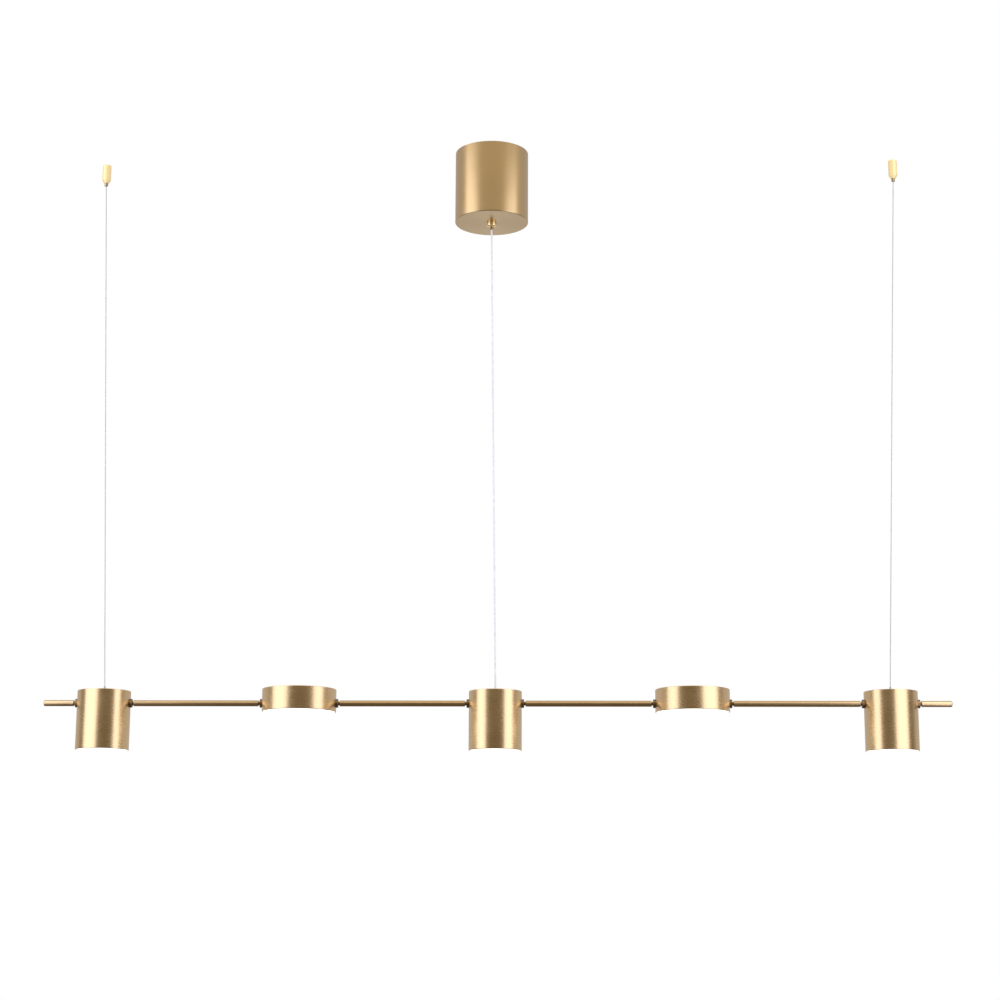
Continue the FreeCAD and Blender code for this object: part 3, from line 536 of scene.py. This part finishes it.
polished_brass = speckled("polished_brass", (0.93, 0.72, 0.34), (0.97, 0.77, 0.40), 60, 0.55, 0.5)
plunger_brass = speckled("plunger_brass", (0.46, 0.34, 0.20), (0.58, 0.44, 0.27), 500, 0.35, 1)
# Nearly black brass for the rod nipples: painted shade in the narrow necks between collars and rods.
nipple_brass_painted_shade = speckled("nipple_brass_painted_shade", (0.16, 0.105, 0.05), (0.24, 0.165, 0.085), 500, 0.35, 1)
for side, x in GRIPPER_X.items():
    middle = (x, SET_BACK, 0)
    shoulder = -GRIPPER_BARREL
    nose = shoulder - GRIPPER_CONE
    barrel = new_cylinder(f"{side}_gripper", GRIPPER_RADIUS, shoulder, 0, middle, sides=SMALL_SIDES)
    end_caps(barrel, "Z", shoulder)
    bpy.ops.mesh.inset(thickness=GRIPPER_RADIUS - GRIPPER_NOSE_RADIUS, depth=GRIPPER_CONE)
    sink_cap(barrel, "Z", nose, GRIPPER_NOSE_RADIUS - PLUNGER_BORE, PLUNGER_BORE_DEPTH)
    sink_cap(barrel, "Z", 0, GRIPPER_RADIUS - GRIPPER_SOCKET, -GRIPPER_SOCKET_DEPTH)
    round_ring(barrel, "Z", 0, GRIPPER_RADIUS, middle, GRIPPER_TOP_ROUND, segments=3)
    round_ring(barrel, "Z", shoulder, GRIPPER_RADIUS, middle, GRIPPER_SHOULDER_ROUND, segments=4)
    round_ring(barrel, "Z", nose, GRIPPER_NOSE_RADIUS, middle, GRIPPER_NOSE_ROUND, segments=2)
    finish_piece(barrel, polished_brass, "ceiling_set", f"{side}_gripper_body")
    dress(plunger_brass, f"{side}_gripper_plunger")
    fit_spring(f"{side}_gripper_spring")


# ---- Cable gripper in the canopy's floor ----
# A small polished dome below the canopy, held by a nut on its threaded stem inside. The plunger in its
# middle grips the clear cable.
DOME_RADIUS = 0.0065
DOME_BAND = 0.0016
# Inset and drop of each step below the band, then the round of each edge.
DOME_STEPS = ((0.00045, 0.0027), (0.00205, 0.0011))
DOME_ROUNDS = (0.0006, 0.0009, 0.0003)
STEM_RADIUS = 0.005
STEM_HEIGHT = 0.016

mirror_brass = speckled("mirror_brass", (0.92, 0.69, 0.33), (0.97, 0.75, 0.39), 60, 0.25, 0.8)
height = CANOPY_FLOOR - DOME_BAND
dome = new_cylinder("canopy_gripper", DOME_RADIUS, height, CANOPY_FLOOR, CANOPY_MIDDLE, sides=SMALL_SIDES)
rings = [(height, DOME_RADIUS)]
for inset, depth in DOME_STEPS:
    end_caps(dome, "Z", height)
    bpy.ops.mesh.inset(thickness=inset, depth=depth)
    height -= depth
    rings.append((height, rings[-1][1] - inset))
sink_cap(dome, "Z", height, rings[-1][1] - PLUNGER_BORE, PLUNGER_BORE_DEPTH)
sink_cap(dome, "Z", CANOPY_FLOOR, DOME_RADIUS - STEM_RADIUS, STEM_HEIGHT)
for (place, radius), amount in zip(rings, DOME_ROUNDS):
    round_ring(dome, "Z", place, radius, CANOPY_MIDDLE, amount, segments=4)
finish_piece(dome, mirror_brass, "ceiling_set", "canopy_gripper_body")
dress(plunger_brass, "canopy_gripper_plunger")
fit_spring("canopy_gripper_spring")


# ---- Rods ----
# Six lengths of brushed brass tube in line. Each is pushed over hollow nipples that stand out of the
# heads, and the two end rods are closed by a rounded end.
ROD_RADIUS = 0.004
ROD_BORE = 0.00255
BORE_DEPTH = 0.012
ROD_END_ROUND = 0.0014
ROD_RIM_ROUND = 0.0002
ROD_SIDES = 56
AXIS = (0, SET_BACK, -0.757)
RODS = {
    "left_end_rod": (-0.593, -0.553),
    "left_outer_rod": (-0.473, -0.307),
    "left_inner_rod": (-0.199, -0.033),
    "right_inner_rod": (0.047, 0.213),
    "right_outer_rod": (0.321, 0.487),
    "right_end_rod": (0.567, 0.607),
}

# The rods' brass is painted darker than the heads' brass: painted shade for the rods' dim lower halves.
shaded_rod_brass = brass(
    "shaded_rod_brass", (0.60, 0.42, 0.22), (0.70, 0.50, 0.265), 0.30, (18, 2600, 2600),
    anisotropy=0.3, turning="X",
)
for name, (start, end) in RODS.items():
    rod = new_cylinder(f"{name}_tube", ROD_RADIUS, start, end, AXIS, sides=ROD_SIDES, axis="X")
    closed = {"left_end_rod": start, "right_end_rod": end}.get(name)
    for place, inward in ((start, 1), (end, -1)):
        if place == closed:
            round_ring(rod, "X", place, ROD_RADIUS, AXIS, ROD_END_ROUND, segments=6)
        else:
            sink_cap(rod, "X", place, ROD_RADIUS - ROD_BORE, inward * BORE_DEPTH)
            round_ring(rod, "X", place, ROD_RADIUS, AXIS, ROD_RIM_ROUND, segments=2)
    finish_piece(rod, shaded_rod_brass, "bar", name)


# ---- Nipples, collars and leads ----
# A hollow nipple, a locknut inside and a saddle-cut collar outside fix each side of a head to its rod.
# The discs' nipples turn on friction washers, and two leads run through the rods to the outer heads.
# The collars' brass is painted dark brown: painted shade for the collars, which face sideways between rod
# and head.
shaded_collar_brass = brass("shaded_collar_brass", (0.20, 0.13, 0.06), (0.30, 0.205, 0.10), 0.34, (60, 900, 900))
lead_sleeve = speckled("lead_sleeve", (0.74, 0.74, 0.72), (0.83, 0.83, 0.81), 500, 0.4, 0)
dress(nipple_brass_painted_shade, "rod_nipples")
dress(shaded_collar_brass, "cylinder_collars", "left_disc_collars", "right_disc_collars")
dress(zinc, "nipple_locknuts", "friction_washers")
dress(lead_sleeve, "bus_leads")


# ---- Lamp heads ----
# Three deep brass cups and two shallow brass drums, open side down, brushed round and round. The nipples
# cross them below the top, and a wire, the cable or nothing enters the middle of the top.
HEAD_WALL = 0.0015
DRILL_SIDES = 32
NIPPLE_HOLE = 0.00255
ANCHOR_HOLE = 0.00155
GROMMET_HOLE = 0.00205
# Radius, lowest, highest, top wall, edge round.
CYLINDER = (0.035, -0.819, -0.741, 0.003, 0.0006)
DISC = (0.049, -0.7685, -0.7385, 0.0025, 0.0008)
# Name, middle's x, form, hole in the top.
HEADS = (
    ("left_cylinder", ANCHOR_X["left"], CYLINDER, ANCHOR_HOLE),
    ("left_disc", -0.253, DISC, 0),
    ("centre_cylinder", GROMMET_X, CYLINDER, GROMMET_HOLE),
    ("right_disc", 0.267, DISC, 0),
    ("right_cylinder", ANCHOR_X["right"], CYLINDER, ANCHOR_HOLE),
)


def drill_across(piece, radius, length, middle):
    """Cuts a round hole along X right through a piece, and goes back to edit mode."""
    bpy.ops.object.mode_set(mode="OBJECT")
    bpy.ops.object.select_all(action="DESELECT")
    bpy.ops.mesh.primitive_cylinder_add(
        vertices=DRILL_SIDES, radius=radius, depth=length, location=middle, rotation=(0, math.pi / 2, 0)
    )
    drill = bpy.context.object
    cut = piece.modifiers.new("nipple_holes", "BOOLEAN")
    cut.object = drill
    cut.operation = "DIFFERENCE"
    bpy.context.view_layer.objects.active = piece
    bpy.ops.object.modifier_apply(modifier=cut.name)
    bpy.data.objects.remove(drill)
    bpy.ops.object.select_all(action="DESELECT")
    piece.select_set(True)
    bpy.ops.object.mode_set(mode="EDIT")


head_brass = brass(
    "head_brass", (0.77, 0.555, 0.29), (0.82, 0.60, 0.32), 0.27, (9, 9, 1400),
    anisotropy=0.35, turning="Z", brushing=0.02,
)
for name, x, (radius, lowest, highest, top_wall, edge_round), top_hole in HEADS:
    middle = (x, SET_BACK, 0)
    shell = new_cylinder(f"{name}_cup", radius, lowest, highest, middle)
    ceiling = highest - top_wall
    sink_cap(shell, "Z", lowest, HEAD_WALL, ceiling - lowest)
    if top_hole:
        join_caps(shell, "Z", highest, ceiling, radius - top_hole, radius - HEAD_WALL - top_hole)
    for place in (lowest, highest):
        round_ring(shell, "Z", place, radius, middle, edge_round)
    drill_across(shell, NIPPLE_HOLE, 3 * radius, (x, AXIS[1], AXIS[2]))
    body = name if name.endswith("disc") else "bar"
    finish_piece(shell, head_brass, body, f"{name}_shell")


# ---- What lights the heads ----
# Each cup holds a finned aluminium heat sink, a white board of LED chips, a reflector and an opal disc.
# The drums are lit from their rims through a clear guide. All five are lit in the photograph.
GLOW_COLOUR = (1.0, 0.98, 0.95, 1)
GLOW_STRENGTH = 1.0
GUIDE_CLEARNESS = 0.85

opal = speckled("opal", (0.93, 0.93, 0.91), (0.97, 0.97, 0.95), 90, 0.3, 0)
glow = opal.node_tree.nodes["Principled BSDF"]
glow.inputs["Emission Color"].default_value = GLOW_COLOUR
glow.inputs["Emission Strength"].default_value = GLOW_STRENGTH
aluminium = speckled("aluminium", (0.52, 0.53, 0.54), (0.68, 0.69, 0.70), 320, 0.42, 1)
board_white = speckled("board_white", (0.80, 0.80, 0.78), (0.88, 0.88, 0.86), 500, 0.5, 0)
reflector_white = speckled("reflector_white", (0.84, 0.84, 0.83), (0.90, 0.90, 0.89), 300, 0.45, 0)
clear_guide = speckled("clear_guide", (0.88, 0.90, 0.90), (0.93, 0.95, 0.95), 80, 0.08, 0)
clear_guide.node_tree.nodes["Principled BSDF"].inputs["Transmission Weight"].default_value = GUIDE_CLEARNESS
dress(reflector_white, "cylinder_reflectors")
for name, *_ in HEADS:
    dress(opal, f"{name}_diffuser")
    if name.endswith("disc"):
        dress(aluminium, f"{name}_back_plate")
        dress(board_white, f"{name}_led_ring")
        dress(clear_guide, f"{name}_light_guide")
    else:
        dress(aluminium, f"{name}_heat_sink")
        dress(board_white, f"{name}_led_board")


# ---- Wire anchors and grommet ----
# Each wire ends in a small plated cone screwed through the top of its head. The cable enters the centre
# head through a black rubber grommet.
plated_cone = speckled("plated_cone", (0.30, 0.29, 0.28), (0.42, 0.41, 0.40), 600, 0.35, 1)
black_rubber = speckled("black_rubber", (0.02, 0.018, 0.016), (0.045, 0.042, 0.04), 700, 0.6, 0)
dress(plated_cone, "wire_anchors")
dress(black_rubber, "cable_grommet")
